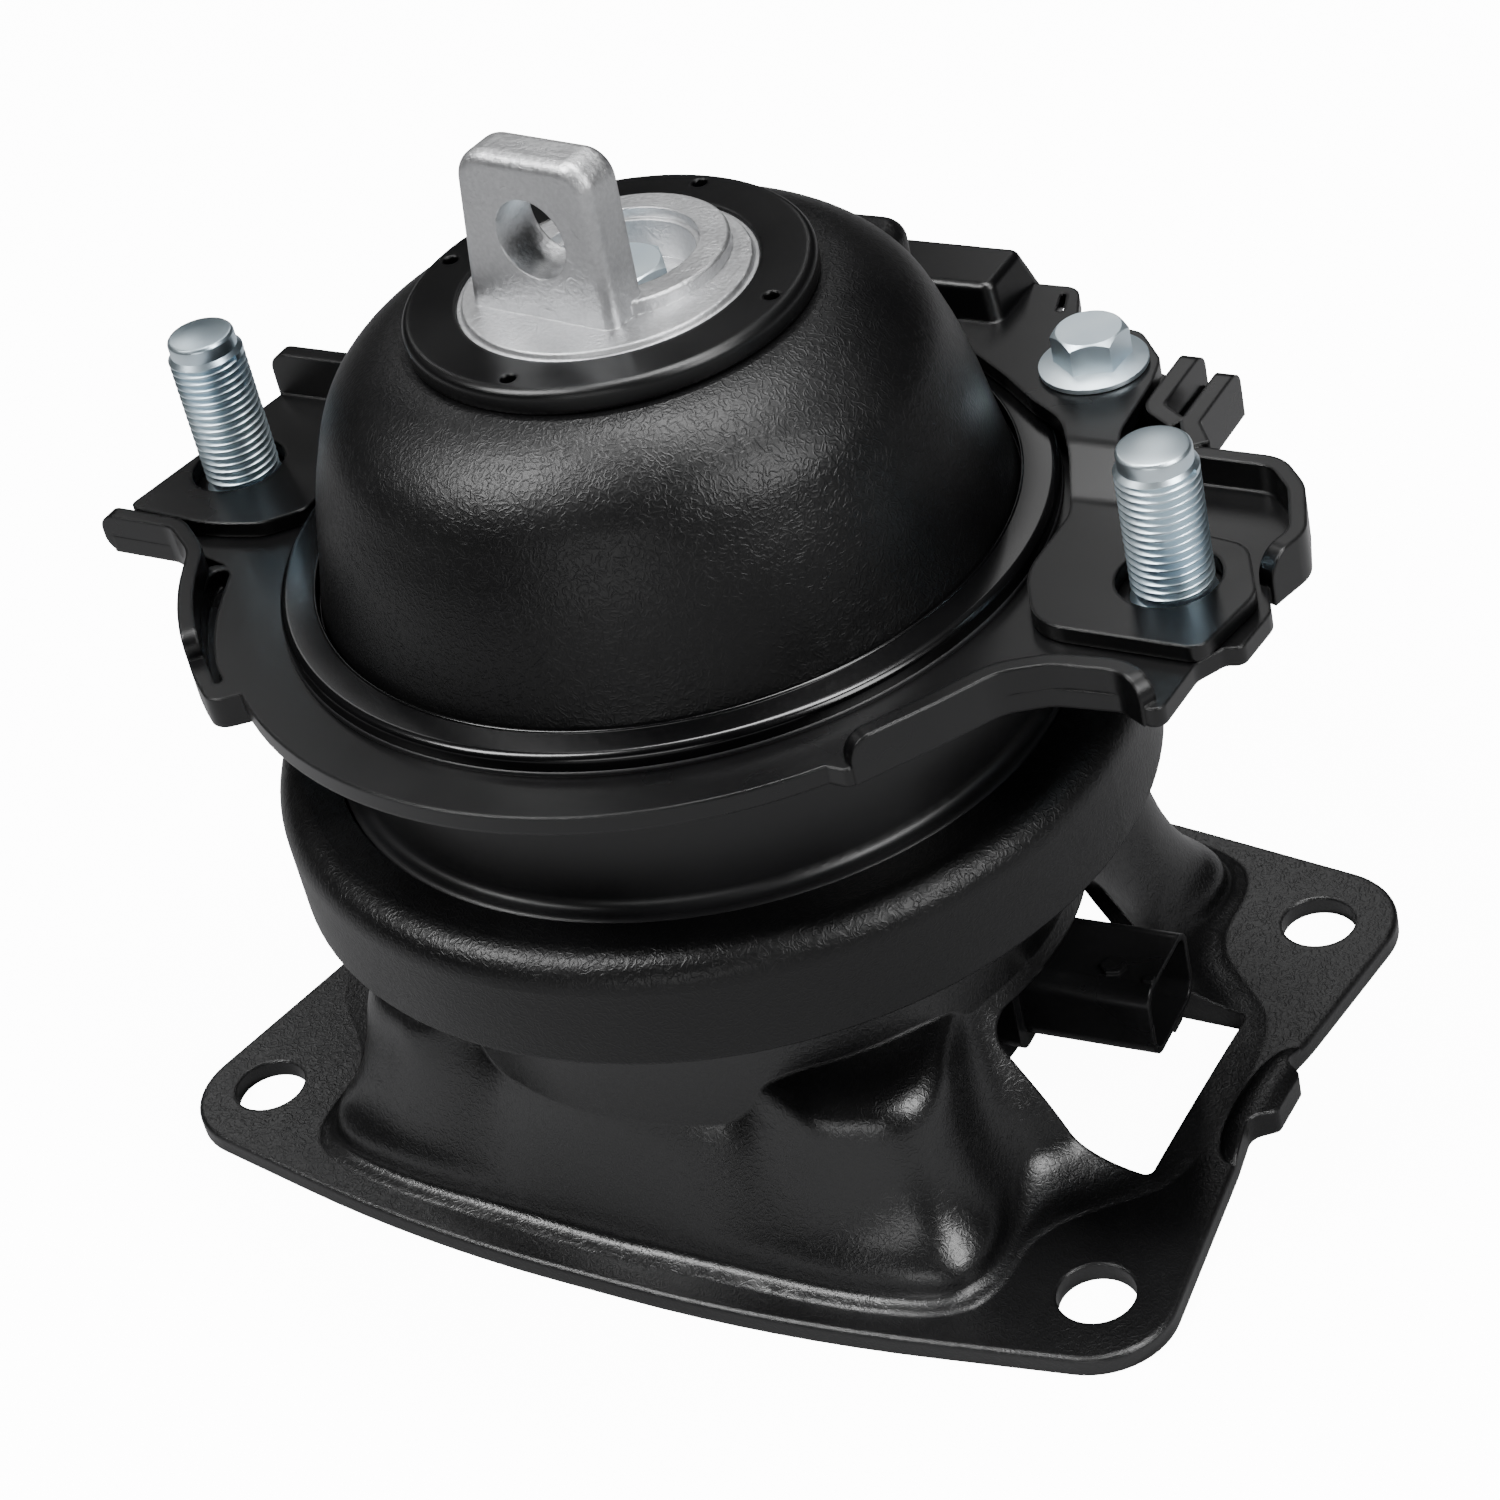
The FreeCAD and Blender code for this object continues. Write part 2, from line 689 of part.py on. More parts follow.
def stud_yoke():
    plan = prism(yoke_plan(), 90, 116)
    low, high = PAD_TOP - YOKE_T, ARCH_TOP - YOKE_T
    sheet = [
        (-40, low),
        (19, low, 6),
        (29, high, 6),
        (90, high),
        (90, high + YOKE_T),
        (27.5, high + YOKE_T, 6),
        (17.5, low + YOKE_T, 6),
        (-40, low + YOKE_T),
    ]
    face = Part.Face(outline(sheet, lambda y, z: V(-110, y, z)))
    body = face.extrude(V(220, 0, 0)).common(plan)

    def tapered(x, y0, y1, z0, z1, dx, r):
        foot = [(-x, y0, r), (x, y0, r), (x, y1, r), (-x, y1, r)]
        top = [(-x + dx, y0 + dx, r), (x - dx, y0 + dx, r), (x - dx, y1 - dx, r), (-x + dx, y1 - dx, r)]
        a = outline(foot, lambda u, v: V(u, v, z0))
        b = outline(top, lambda u, v: V(u, v, z1))
        return Part.makeLoft([a, b], True, True)

    box = tapered(30.6, 54.2, 70.4, ARCH_TOP - YOKE_T, 110.0, 2.4, 2.0)
    crown = [e for e in level_edges(box, 110.0)]
    box = box.makeFillet(1.2, crown)
    hollow = tapered(28.2, 56.6, 68.0, ARCH_TOP - YOKE_T - 1, 107.8, 2.4, 1.2)
    body = body.fuse(box).cut(hollow)
    lip = wall([(-84.4, 18.6, 0), (-66.0, 18.6, 6), (-62.0, 26.0, 0)], 2.8, low, LIP_TOP)
    corner = [e for e in lip.Edges if near(e, -84.4, 18.6, LIP_TOP, 0.3)]
    lip = lip.makeFillet(3.2, corner)
    body = body.fuse(lip)
    for x, y, top in (STUD_LEFT, STUD_RIGHT):
        shifted = V(x + PAD_HOLE_SHIFT[0], y + PAD_HOLE_SHIFT[1], 90)
        body = body.cut(Part.makeCylinder(PAD_HOLE_R, 20, shifted))
    body = body.cut(Part.makeCylinder(BOLT_HOLE_R, 20, V(BOLT_X, BOLT_Y, 95)))
    slot = prism([(37.1, 60.2, 0.4), (38.2, 60.4, 0.4), (36.6, 65.1, 0.4), (35.5, 65.7, 0.4)], 95, 110)
    return body.cut(slot).removeSplitter()


def stud(place):
    # head under the plate, knurl in the plate, undercut, thread and a plain tip
    x, y, top = place
    head_low = RING_LOW - 3.0
    tip = STUD_R - 0.65
    body = spun(
        [
            (0, head_low),
            (9.0, head_low, 0.6),
            (9.0, RING_LOW),
            (KNURL_R, RING_LOW),
            (KNURL_R, RING_TOP),
            (STUD_R - 0.6, RING_TOP + 0.6),
            (STUD_R - 0.6, STUD_FOOT),
            (STUD_R, STUD_FOOT),
            (STUD_R, top - 3.4),
            (tip, top - 2.4),
            (tip, top - 0.4),
            (tip - 0.4, top),
            (0, top),
        ]
    )
    body.translate(V(x, y, 0))
    return body


def spacer_bush():
    return tube(7.0, BOLT_HOLE_R, RING_TOP, ARCH_TOP - YOKE_T, BOLT_X, BOLT_Y)


def flange_bolt():
    low = ARCH_TOP
    disc = spun([(0, low), (8.4, low, 0.3), (8.4, low + 0.9), (5.4, low + 1.7), (0, low + 1.7)])
    disc.translate(V(BOLT_X, BOLT_Y, 0))
    top = low + 6.6
    head = hexagon(10.4, low + 1, top, BOLT_X, BOLT_Y, 25)
    cap = spun([(0, low + 1), (6.2, low + 1), (6.2, top - 1.0), (5.0, top), (0, top)])
    cap.translate(V(BOLT_X, BOLT_Y, 0))
    shank = tube(BOLT_R, 0, 87.0, low + 1, BOLT_X, BOLT_Y)
    return disc.fuse(head.common(cap)).fuse(shank).removeSplitter()


def weld_nut():
    nut = hexagon(11.0, RING_LOW - 6.5, RING_LOW, BOLT_X, BOLT_Y, 25)
    return nut.cut(Part.makeCylinder(BOLT_R + 0.02, 20, V(BOLT_X, BOLT_Y, 80)))


def crimp_ring():
    low = RING_TOP + NECK_LIP_T
    return spun(
        [
            (CRIMP_IN, low),
            (CRIMP_OUT, low),
            (CRIMP_OUT, CRIMP_TOP, 1.3),
            (CRIMP_IN, CRIMP_TOP, 0.4),
        ]
    )


# Outline of the dome: share of the way out from the washer's rim to the crimp, share of the
# way up, and how much of the wall's thickness is taken downwards for the lining.
DOME_LINE = (
    (0.987, 0.0, 0),
    (0.974, 0.056, 0),
    (0.948, 0.127, 0),
    (0.909, 0.229, 0),
    (0.8745, 0.331, 0),
    (0.8355, 0.433, 0.05),
    (0.788, 0.534, 0.1),
    (0.727, 0.636, 0.2),
    (0.658, 0.738, 0.35),
    (0.554, 0.8295, 0.5),
    (0.398, 0.911, 0.7),
    (0.2165, 0.972, 0.9),
    (0.052, 1.0, 1.0),
)


def dome_skin(shrink):
    foot = RING_TOP + NECK_LIP_T
    points = []
    for out, rise, sink in DOME_LINE:
        r = WASHER_R + (CRIMP_IN - WASHER_R) * out
        z = foot + (DOME_TOP - foot) * rise
        points.append(V(r - shrink, 0, z - shrink * sink))
    return points


def rubber_dome():
    def curve(points):
        spline = Part.BSplineCurve()
        spline.interpolate(points)
        return spline.toShape()

    low = RING_TOP + NECK_LIP_T
    skin = dome_skin(0.0)
    lining = dome_skin(DOME_WALL)
    skin[0] = V(CRIMP_IN - FIT, 0, low)
    lining[0] = V(CRIMP_IN - DOME_WALL, 0, low)
    hole = CORE_R + BOND
    top_in = V(hole, 0, DOME_TOP)
    low_in = V(hole, 0, lining[-1].z)
    edges = [
        Part.makeLine(lining[0], skin[0]),
        Part.makeLine(skin[0], skin[1]),
        curve(skin[1:]),
        Part.makeLine(skin[-1], top_in),
        Part.makeLine(top_in, low_in),
        Part.makeLine(low_in, lining[-1]),
        curve(lining[::-1]),
    ]
    body = Part.Face(Part.Wire(edges)).revolve(V(0, 0, 0), V(0, 0, 1), 360)
    # buffer block at the back, facing the raised box of the yoke
    block = prism([(-24, 30, 4), (24, 30, 4), (24, 46.3, 5), (-24, 46.3, 5)], 106.0, 128.6)
    brim = [e for e in level_edges(block, 128.6)]
    block = block.makeFillet(3.0, brim)
    core = spun([(0, 100), (46.5, 100), (46.5, 112), (43, 124), (38, 130), (0, 130)])
    block = block.cut(core)
    return body.fuse(block).removeSplitter()


def top_washer():
    low = DOME_TOP
    body = spun(
        [
            (WASHER_HOLE, low),
            (WASHER_R, low, 0.6),
            (WASHER_R, low + WASHER_T, 1.3),
            (WASHER_HOLE, low + WASHER_T, 0.3),
        ]
    )
    for i in range(4):
        a = math.pi / 2 * i
        hole = Part.makeCylinder(1.2, 10, V(27.25 * math.cos(a), 27.25 * math.sin(a), low - 2))
        body = body.cut(hole)
    return body


def core():
    body = spun(
        [
            (0, 95.0),
            (14.0, 95.0, 1.5),
            (CORE_R, 118.0, 3.0),
            (CORE_R, DOME_TOP),
            (WASHER_HOLE - FIT, DOME_TOP),
            (WASHER_HOLE - FIT, CORE_TOP - 0.9),
            (HUB_R + 0.3, CORE_TOP - 0.9),
            (HUB_R, CORE_TOP, 0.3),
            (0, CORE_TOP),
        ]
    )
    # boss round the bore, off the mount's axis
    boss = spun([(0, CORE_TOP - 2), (BOSS_R, CORE_TOP - 2), (BOSS_R, BOSS_TOP, 0.5), (0, BOSS_TOP)])
    boss.translate(V(BORE_X, BORE_Y, 0))
    body = body.fuse(boss)
    pit = Part.makeCylinder(BORE_R, 20, V(BORE_X, BORE_Y, LEDGE_Z))
    seat = Part.makeCylinder(6.0 + FIT, 40, V(BORE_X, BORE_Y, 110))
    step = tube(BORE_R + 0.8, 0, BOSS_TOP - 1.6, BOSS_TOP + 1, BORE_X, BORE_Y)
    body = body.cut(pit).cut(seat).cut(step)
    lug = lug_blade()
    body = body.fuse(lug)
    hole = Part.makeCylinder(LUG_HOLE_R, 60, V(LUG_HOLE_X, -40, LUG_HOLE_Z), V(0, 1, 0))
    hole.rotate(V(0, 0, 0), V(0, 0, 1), LUG_TURN)
    body = body.cut(hole)
    return body.removeSplitter()


def lug_blade():
    # blade that leans back a little, thinner towards the top
    front_low, front_high = -13.1, -12.1
    back_low, back_high = -4.9, -4.3
    foot = LEDGE_Z - 1.0
    side = [(front_low, foot), (back_low, foot), (back_high, LUG_TOP), (front_high, LUG_TOP)]
    slab = Part.Face(outline(side, lambda y, z: V(-40, y, z))).extrude(V(80, 0, 0))
    shape = [
        (-15.3, CORE_TOP - 4),
        (11.1, CORE_TOP - 4),
        (11.6, LUG_TOP, 4.5),
        (-12.0, LUG_TOP, 5.5),
        (-15.3, CORE_TOP),
    ]
    front = Part.Face(outline(shape, lambda x, z: V(x, -30, z))).extrude(V(0, 60, 0))
    blade = slab.common(front)
    sides = []
    for e in blade.Edges:
        box = e.BoundBox
        if box.ZMax > CORE_TOP + 2 and box.YLength < 4 and (box.ZLength > 3 or box.XLength > 3):
            sides.append(e)
    blade = blade.makeFillet(2.0, sides)
    blade.rotate(V(0, 0, 0), V(0, 0, 1), LUG_TURN)
    return blade


def core_bolt():
    low = LEDGE_Z
    head = hexagon(12.0, low, low + 5.4, BORE_X, BORE_Y, 10)
    cap = spun([(0, low - 1), (7.2, low - 1), (7.2, low + 4.5), (5.8, low + 5.4), (0, low + 5.4)])
    cap.translate(V(BORE_X, BORE_Y, 0))
    shank = tube(4.0, 0, 113.0, low + 1, BORE_X, BORE_Y)
    return head.common(cap).fuse(shank).removeSplitter()


def core_insert():
    return tube(6.0, 4.02, 110.0, LEDGE_Z - 1.0, BORE_X, BORE_Y)


def main_rubber():
    return spun(
        [
            (0, 91.0),
            (15.0, 90.4, 4),
            (38.0, OUTER_RING_Z + 2.0, 3),
            (OUTER_RING_IN - STACK_FIT, OUTER_RING_Z + 2.0),
            (OUTER_RING_IN - STACK_FIT, 89.0, 1),
            (44.0, 97.6, 6),
            (30.5, 116.4, 1.5),
            (CORE_R + 0.2, 117.8),
            (14.35, 95.0),
            (0, 95.0),
        ]
    )


def outer_ring():
    return spun(
        [
            (44.0, OUTER_RING_Z),
            (OUTER_RING_R, OUTER_RING_Z, 1.5),
            (OUTER_RING_R, RING_LOW - 0.2),
            (OUTER_RING_IN, RING_LOW - 0.2),
            (OUTER_RING_IN, OUTER_RING_Z + 2.0),
            (44.0, OUTER_RING_Z + 2.0),
        ]
    )


def upper_orifice_plate():
    low = UPPER_PLATE_Z
    body = spun(
        [
            (0, low),
            (STACK_R, low),
            (STACK_R, HOUSING_TOP),
            (52.0, HOUSING_TOP),
            (52.0, OUTER_RING_Z),
            (45.0, OUTER_RING_Z),
            (42.0, HOUSING_TOP),
            (0, HOUSING_TOP),
        ]
    )
    track = tube(50.5, 43.0, low - 1, low + 3.0)
    web = Part.makeBox(12, 6, 8, V(41, -3, low - 2))
    body = body.cut(track.cut(web))
    body = body.cut(Part.makeCylinder(MEMBRANE_R + FIT, MEMBRANE_T, V(0, 0, low)))
    port = Part.makeBox(6, 6, 8, V(40.2, 5, low + 1.0))
    body = body.cut(port)
    return body.cut(port_ring(0.0, low - 1))


def port_ring(turn, low):
    # eight round ports over and under the membrane
    ports = []
    for i in range(8):
        a = math.radians(45 * i + turn)
        ports.append(Part.makeCylinder(4.0, 10, V(16 * math.cos(a), 16 * math.sin(a), low)))
    return Part.makeCompound(ports)


def lower_orifice_plate():
    low = LOWER_PLATE_Z
    body = tube(STACK_R, 0, low, UPPER_PLATE_Z)
    groove = tube(STACK_R + 1, SEAL_IN - FIT, low + 0.8, low + 2.6)
    body = body.cut(groove)
    body = body.cut(Part.makeBox(6, 6, 10, V(43.4, -9, low - 5)))
    return body.cut(port_ring(22.5, low - 5))


def decoupler_membrane():
    low, top = UPPER_PLATE_Z, UPPER_PLATE_Z + MEMBRANE_T
    return spun([(0, low), (MEMBRANE_R, low, 0.3), (MEMBRANE_R, top, 0.3), (0, top)])


def seal_ring():
    low, top = LOWER_PLATE_Z + 0.8, LOWER_PLATE_Z + 2.5
    outer = STACK_R + FIT
    return spun([(SEAL_IN, low, 0.3), (outer, low, 0.5), (outer, top, 0.5), (SEAL_IN, top, 0.3)])


def diaphragm():
    return spun(
        [
            (0, RIM_Z - 1.2),
            (18.0, RIM_Z - 1.2, 1),
            (26.0, RIM_Z - 2.4, 2),
            (40.0, RIM_Z - 2.4, 3),
            (47.0, RIM_Z, 2),
            (STACK_R, RIM_Z),
            (STACK_R, LOWER_PLATE_Z),
            (46.4, LOWER_PLATE_Z, 2),
            (39.4, RIM_Z - 0.8, 3),
            (26.4, RIM_Z - 0.8, 2),
            (18.4, RIM_Z + 0.4, 1),
            (0, RIM_Z + 0.4),
        ]
    )


def diaphragm_ring():
    return tube(STACK_R, 50.0, CAN_FLANGE_TOP + HOUSING_WALL, RIM_Z)


def actuator_yoke():
    body = spun(
        [
            (0, 6.0),
            (38.0, 6.0),
            (42.8, 10.0),
            (42.8, 46.0),
            (40.2, 46.0),
            (40.2, 10.0),
            (16.0, 10.0),
            (16.0, 28.0),
            (6.2, 28.0),
            (6.2, 14.0),
            (0, 14.0),
        ]
    )
    port = plug_frame(plug_block(36, 48, 14.5, 11.0, 2.0))
    return body.cut(port)


def coil_bobbin():
    body = spun(
        [
            (16.2, 10.0),
            (39.9, 10.0),
            (39.9, 12.0),
            (18.2, 12.0),
            (18.2, 42.0),
            (39.9, 42.0),
            (39.9, 44.0),
            (16.2, 44.0),
        ]
    )
    return body


def coil_winding():
    return tube(37.5, 18.3, 12.0, 42.0)


def armature():
    return tube(15.5, 4.1, 30.0, 46.0)


def leaf_spring():
    body = tube(42.6, 4.1, 46.0, 46.7)
    for i in range(3):
        cut = sector(19.0, 23.0, 120 * i, 120 * i + 92, 45, 48)
        body = body.cut(cut)
        cut = sector(27.0, 31.0, 120 * i + 60, 120 * i + 152, 45, 48)
        body = body.cut(cut)
    return body


def guide_bush():
    return tube(6.1, 4.1, 14.0, 28.0)


def drive_rod():
    return spun(
        [
            (0, 16.5),
            (4.0, 16.5, 0.6),
            (4.0, 46.7),
            (8.0, 46.7),
            (8.0, 49.0, 0.8),
            (4.0, 50.0),
            (4.0, 54.4),
            (12.0, 55.6),
            (12.0, 57.0),
            (0, 57.0),
        ]
    )


NODES = {
    "base_plate": base_plate,
    "actuator_can": actuator_can,
    "connector_housing": connector_housing,
    "connector_terminals": connector_terminals,
    "lower_housing": lower_housing,
    "rubber_sleeve": rubber_sleeve,
    "neck_housing": neck_housing,
    "bracket_ring": bracket_ring,
    "stud_yoke": stud_yoke,
    "stud_left": lambda: stud(STUD_LEFT),
    "stud_right": lambda: stud(STUD_RIGHT),
    "spacer_bush": spacer_bush,
    "flange_bolt": flange_bolt,
    "weld_nut": weld_nut,
    "crimp_ring": crimp_ring,
    "rubber_dome": rubber_dome,
    "top_washer": top_washer,
    "core": core,
    "core_bolt": core_bolt,
    "core_insert": core_insert,
    "main_rubber": main_rubber,
    "outer_ring": outer_ring,
    "upper_orifice_plate": upper_orifice_plate,
    "lower_orifice_plate": lower_orifice_plate,
    "decoupler_membrane": decoupler_membrane,
    "seal_ring": seal_ring,
    "diaphragm": diaphragm,
    "diaphragm_ring": diaphragm_ring,
    "actuator_yoke": actuator_yoke,
    "coil_bobbin": coil_bobbin,
    "coil_winding": coil_winding,
    "armature": armature,
    "leaf_spring": leaf_spring,
    "guide_bush": guide_bush,
    "drive_rod": drive_rod,
}

os.makedirs("parts", exist_ok=True)
for name, make in NODES.items():
    shape = make()
    print(name, shape.ShapeType, len(shape.Solids), shape.isValid(), round(shape.Volume / 1000.0, 2))
    shape.exportStep("parts/" + name + ".step")
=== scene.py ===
# %% [markdown]
# # An engine mount, dressed for its portrait
# The mount carries an engine on rubber and oil. Its solids come from the frame: every CAD
# node is loaded first and stays where it is. This lesson sets a camera and soft light,
# builds the finishes once, gives one to each node, and then models the few pieces that the
# solids leave plain, such as the threads of the two studs.

# %% Load the frame
import bpy
import json
import math
from mathutils import Matrix, Vector


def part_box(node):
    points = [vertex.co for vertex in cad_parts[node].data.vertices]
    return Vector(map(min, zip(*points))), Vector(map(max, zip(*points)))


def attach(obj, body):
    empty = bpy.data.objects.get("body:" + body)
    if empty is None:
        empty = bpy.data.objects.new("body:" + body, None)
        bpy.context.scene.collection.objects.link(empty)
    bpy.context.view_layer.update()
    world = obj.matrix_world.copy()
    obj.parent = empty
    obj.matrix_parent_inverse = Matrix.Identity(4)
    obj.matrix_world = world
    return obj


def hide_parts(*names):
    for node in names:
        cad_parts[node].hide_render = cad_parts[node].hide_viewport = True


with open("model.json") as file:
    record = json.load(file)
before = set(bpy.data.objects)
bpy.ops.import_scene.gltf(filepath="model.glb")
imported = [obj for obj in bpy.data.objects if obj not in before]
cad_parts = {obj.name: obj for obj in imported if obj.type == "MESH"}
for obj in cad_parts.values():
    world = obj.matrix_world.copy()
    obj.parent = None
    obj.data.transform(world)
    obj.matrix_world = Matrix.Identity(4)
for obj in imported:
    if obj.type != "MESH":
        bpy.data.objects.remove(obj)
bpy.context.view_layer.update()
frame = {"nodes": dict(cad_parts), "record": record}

MM = 0.001
nodes = frame["nodes"]
print("nodes loaded:", len(nodes))

# %% [markdown]
# The photograph was taken from the front right and above, with a little roll. Its lens, place
# and roll were found by matching the rims, the base holes and the studs, so the camera is set
# from those numbers: an azimuth, an elevation and a roll in degrees, and the point where it
# stands.

# %% Camera
AZIMUTH, ELEVATION, ROLL = 37.02, 35.85, -13.57
STANDS_AT = Vector((0.28202, -0.36732, 0.38994))
PHOTO_WIDTH, FOCAL_LENGTH = 1500, 3648.89  # both in pixels of the photograph
SENSOR = 36.0


def towards(azimuth, elevation):
    """Unit vector from the mount to a place seen from it. Azimuth 0 is the front."""
    a, e = math.radians(azimuth), math.radians(elevation)
    return Vector((math.sin(a) * math.cos(e), -math.cos(a) * math.cos(e), math.sin(e)))


back = towards(AZIMUTH, ELEVATION)
level = towards(AZIMUTH + 90, 0)
roll = math.radians(ROLL)
right = math.cos(roll) * level + math.sin(roll) * back.cross(level)
up = back.cross(right)
bpy.ops.object.camera_add()
camera = bpy.context.object
camera.name = "camera"
turned = Matrix((right, up, back)).transposed().to_4x4()
camera.matrix_world = Matrix.Translation(STANDS_AT) @ turned
camera.data.sensor_width = SENSOR
camera.data.lens = FOCAL_LENGTH / PHOTO_WIDTH * SENSOR
camera.data.clip_start = 0.01
camera.data.clip_end = 20.0
bpy.context.scene.camera = camera
print("camera lens in mm:", round(camera.data.lens, 2))

# %% [markdown]
# The mount stands on a white sweep. Black paint only shows its form through what it mirrors,
# so the lights are soft panels: one high on the left, one nearly overhead, one on the right,
# two narrow ones behind, at the two sides of what the level plates mirror, and a weak one low
# in front. Each panel is given by where it hangs, seen from the mount, by its size and by its
# power.

# %% Helper: aim a lamp
AIM_AT = Vector((0, 0, 0.07))


def panel(name, azimuth, elevation, far, wide, high, power):
    away = towards(azimuth, elevation)
    bpy.ops.object.light_add(type="AREA", location=AIM_AT + away * far)
    lamp = bpy.context.object
    lamp.name = name
    lamp.rotation_mode = "QUATERNION"
    lamp.rotation_quaternion = (-away).to_track_quat("-Z", "Y")
    lamp.data.shape = "RECTANGLE"
    lamp.data.size = wide
    lamp.data.size_y = high
    lamp.data.energy = power
    print("lamp", name, "power", power)

# %% [markdown]
# The floor looks pure white to the camera, because there it glows. Everything else sees it
# as a mid grey floor, which is what the black flanks mirror. A Light Path node chooses.

# %% Floor
FLOOR_GLOW = 12.0
FLOOR_GREY = (0.32, 0.32, 0.325, 1)
bpy.ops.object.select_all(action="DESELECT")
bpy.ops.mesh.primitive_plane_add(size=8.0, location=(0, 0, 0))
floor = bpy.context.object
floor.name = "floor"
floor_paint = bpy.data.materials.new("floor_paint")
floor_paint.use_nodes = True
floor_tree = floor_paint.node_tree
paint = floor_tree.nodes["Principled BSDF"]
paint.inputs["Base Color"].default_value = (0.95, 0.95, 0.95, 1)
paint.inputs["Roughness"].default_value = 0.9
paint.inputs["Specular IOR Level"].default_value = 0.0
paint.inputs["Emission Color"].default_value = (1, 1, 1, 1)
paint.inputs["Emission Strength"].default_value = FLOOR_GLOW
dull = floor_tree.nodes.new("ShaderNodeBsdfDiffuse")
dull.inputs["Color"].default_value = FLOOR_GREY
seen = floor_tree.nodes.new("ShaderNodeLightPath")
either = floor_tree.nodes.new("ShaderNodeMixShader")
floor_tree.links.new(seen.outputs["Is Camera Ray"], either.inputs["Fac"])
floor_tree.links.new(dull.outputs[0], either.inputs[1])
floor_tree.links.new(paint.outputs[0], either.inputs[2])
floor_tree.links.new(either.outputs[0], floor_tree.nodes["Material Output"].inputs["Surface"])
floor.data.materials.append(floor_paint)
print("floor glows to the camera at", FLOOR_GLOW)

# %% [markdown]
# The panels follow, in the order in which they were named above, and a very dim sky that keeps
# the hollows readable. The two narrow panels are weak, so that the level plates stay dark.

# %% Lights
SKY = 0.02
panel("key_left", -48, 58, 1.1, 0.22, 0.60, 13)
panel("top_back", 165, 78, 1.2, 0.90, 0.22, 16)
panel("side_right", 80, 36, 1.1, 0.36, 0.6, 9)
panel("mirror_left", -124, 38, 1.3, 0.14, 0.40, 0.5)
panel("mirror_right", -157, 36, 1.3, 0.16, 0.44, 0.42)
panel("front_low", 15, 12, 1.2, 0.7, 0.25, 2.0)
world = bpy.data.worlds.new("studio")
bpy.context.scene.world = world
world.use_nodes = True
sky = world.node_tree.nodes["Background"]
sky.inputs["Color"].default_value = (1, 1, 1, 1)
sky.inputs["Strength"].default_value = SKY

# %% [markdown]
# Every finish is procedural and reads Object coordinates, so a grain has its true size in
# metres. The small helpers below add a node, join two sockets, and open a node group with
# named sockets.

# %% Helpers for materials
def put(tree, kind, **values):
    """Adds a node. A key with a capital is an input socket, any other is a setting."""
    node = tree.nodes.new("ShaderNode" + kind)
    for key, value in values.items():
        key = key.replace("_", " ") if key[0].isupper() else key
        if key[0].isupper():
            node.inputs[key].default_value = value
        else:
            setattr(node, key, value)
    return node


def join(tree, source, target):
    tree.links.new(source, target)


def maths(tree, operation, a, b=None):
    node = put(tree, "Math", operation=operation)
    for i, x in enumerate((a, b)):
        if x is None:
            continue
        if isinstance(x, (int, float)):
            node.inputs[i].default_value = x
        else:
            join(tree, x, node.inputs[i])
    return node.outputs[0]


def spread(tree, value, low, high, to_low=0.0, to_high=1.0):
    node = put(tree, "MapRange", From_Min=low, From_Max=high, To_Min=to_low, To_Max=to_high)
    join(tree, value, node.inputs["Value"])
    return node.outputs["Result"]


def group(name, inputs, outputs):
    tree = bpy.data.node_groups.new(name, "ShaderNodeTree")
    for socket, default in inputs:
        s = tree.interface.new_socket(socket, in_out="INPUT", socket_type="NodeSocketFloat")
        s.default_value = default
    for socket in outputs:
        tree.interface.new_socket(socket, in_out="OUTPUT", socket_type="NodeSocketFloat")
    return tree, tree.nodes.new("NodeGroupInput"), tree.nodes.new("NodeGroupOutput")

# %% [markdown]
# The dome, the sleeve and the base have a skin of short curved wrinkles, a millimetre or two
# long, that lie close together. A smooth noise is pushed about by a second noise, and the line
# where it passes its middle value becomes a ridge that curls like a worm. A second set of such
# ridges, turned another way, fills the gaps, and a very fine grain lies over all.

# %% Group: wrinkled skin
skin, given, gives = group(
    "wrinkled_skin",
    [("Ridges per metre", 950.0), ("Grain per metre", 4200.0)],
    ["Height", "Patches"],
)
place = put(skin, "TexCoord")
WOBBLE = 0.0016  # metres that the second noise pushes the first
SECOND_SHARE, GRAIN_SHARE = 0.7, 0.3


def curled_ridges(turn, wobble_scale, width):
    warp = put(skin, "TexNoise", Scale=wobble_scale, Detail=1.0)
    join(skin, place.outputs["Object"], warp.inputs["Vector"])
    shift = put(skin, "VectorMath", operation="MULTIPLY_ADD")
    shift.inputs[1].default_value = (WOBBLE, WOBBLE, WOBBLE)
    join(skin, warp.outputs["Color"], shift.inputs[0])
    join(skin, place.outputs["Object"], shift.inputs[2])
    turned = put(skin, "Mapping")
    turned.inputs["Rotation"].default_value = turn
    join(skin, shift.outputs[0], turned.inputs["Vector"])
    field = put(skin, "TexNoise", Detail=0.0)
    join(skin, turned.outputs[0], field.inputs["Vector"])
    join(skin, given.outputs["Ridges per metre"], field.inputs["Scale"])
    off_middle = maths(skin, "ABSOLUTE", maths(skin, "SUBTRACT", field.outputs["Fac"], 0.5))
    return spread(skin, off_middle, 0.0, width, 1.0, 0.0)


